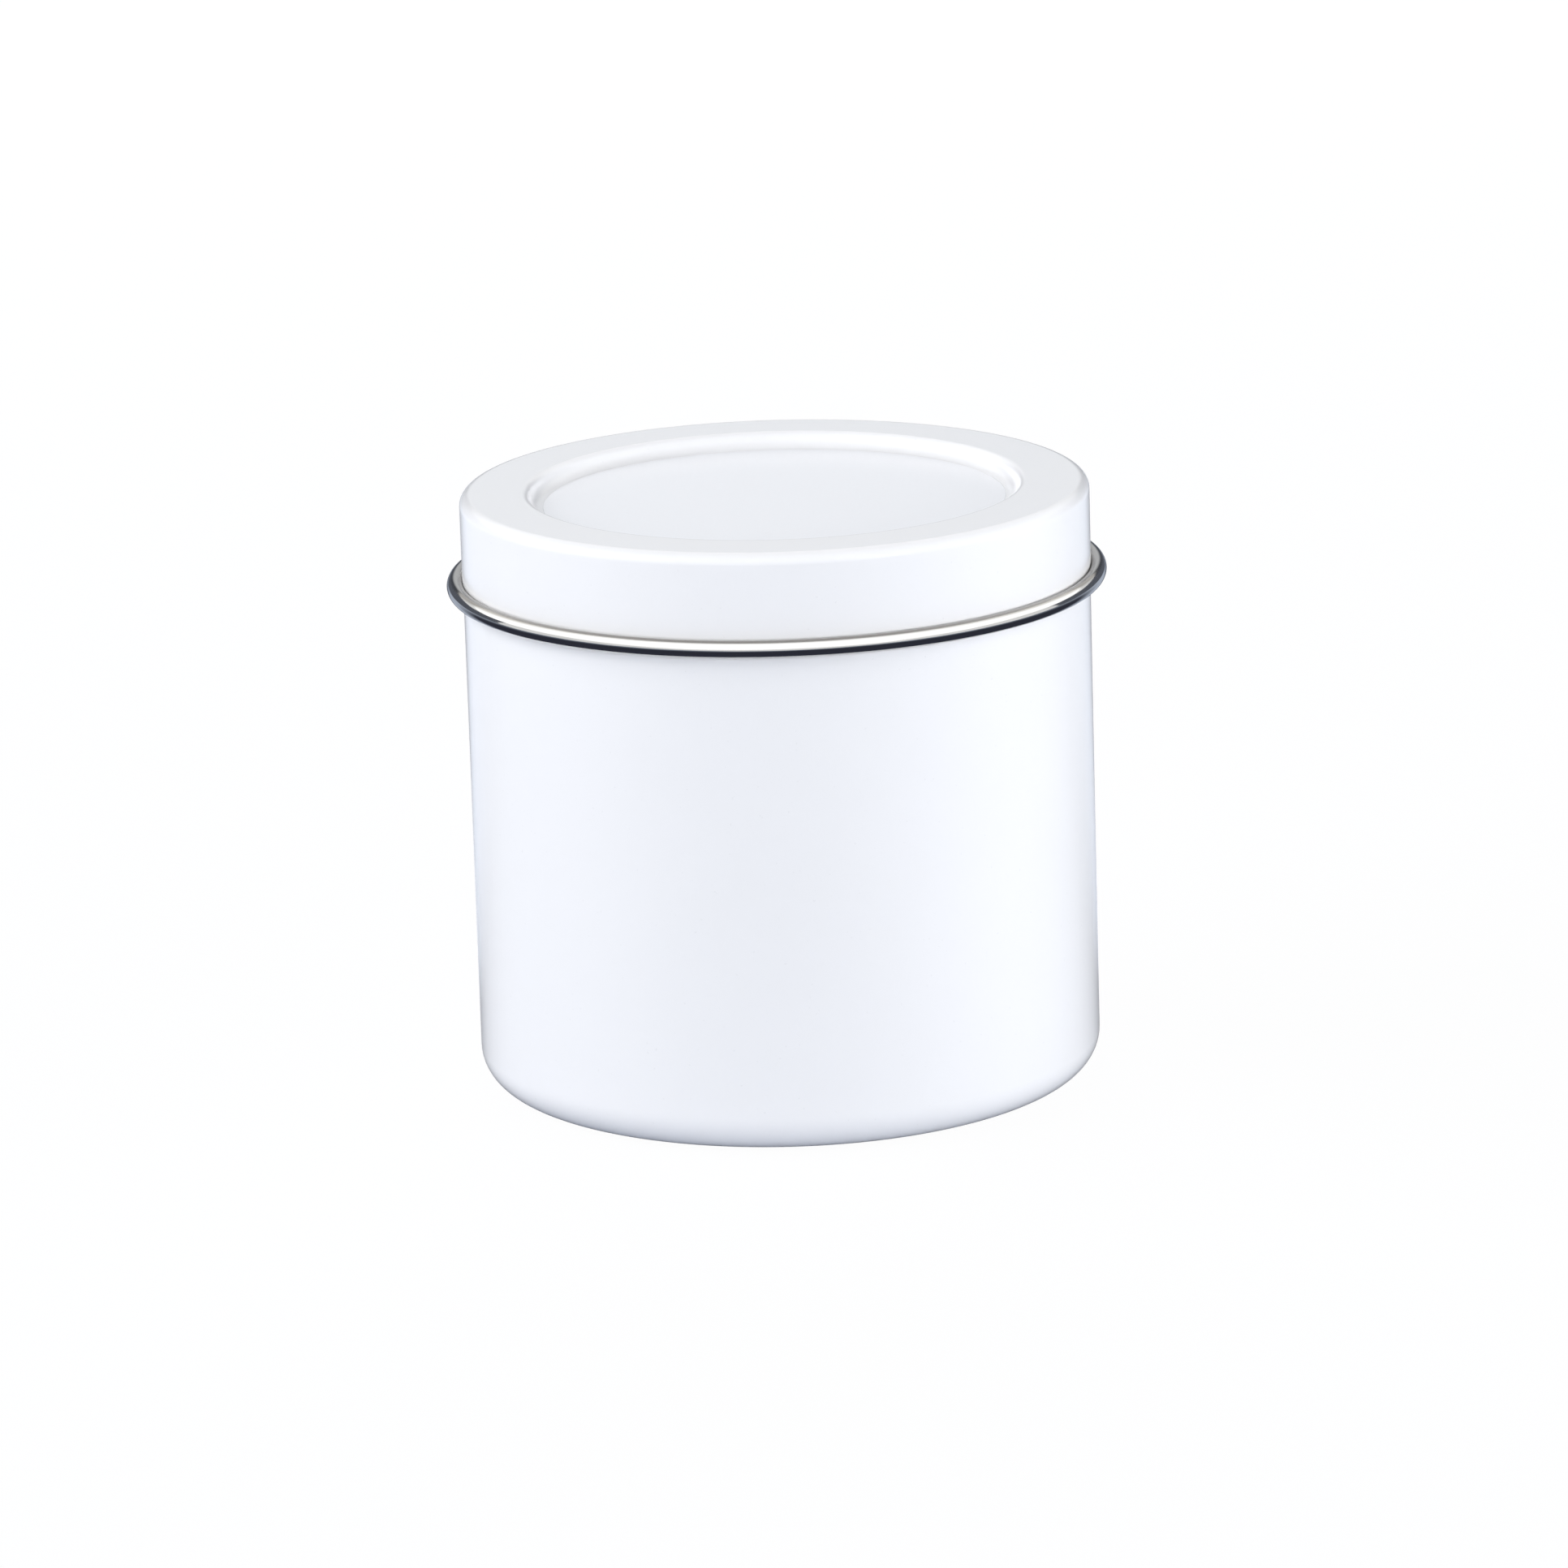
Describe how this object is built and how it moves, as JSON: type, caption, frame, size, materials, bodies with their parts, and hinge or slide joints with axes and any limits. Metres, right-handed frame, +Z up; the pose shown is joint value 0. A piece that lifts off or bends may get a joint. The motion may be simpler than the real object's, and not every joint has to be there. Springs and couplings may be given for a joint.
{
  "type": "window lid tin",
  "caption": "Round drawn tinplate tin with a rounded base corner and a slip-over lid, whose flat ring holds a milky white window and whose skirt ends in a bare rolled edge.",
  "frame": {"origin": "centre of the standing ring, on the surface that the tin stands on", "axes": "+Z up along the tin's axis, +X to the right and -Y to the front in the picture's view"},
  "size_m": [0.08, 0.08, 0.0732],
  "materials": {
    "white_lacquer": "gloss white lacquer outside, bare tinplate inside and on the skirt's roll",
    "opal_sheet": "satin opal white",
    "foam_tape": "matt white foam"
  },
  "bodies": {
    "can": {"can_body": "white_lacquer"},
    "lid": {"lid_shell": "white_lacquer", "window_pane": "opal_sheet", "window_tape": "foam_tape"}
  },
  "joints": [
    {"name": "lid_lift", "type": "slide", "parent": "can", "child": "lid", "axis": [0, 0, 1], "range_m": [0, 0.08]}
  ]
}
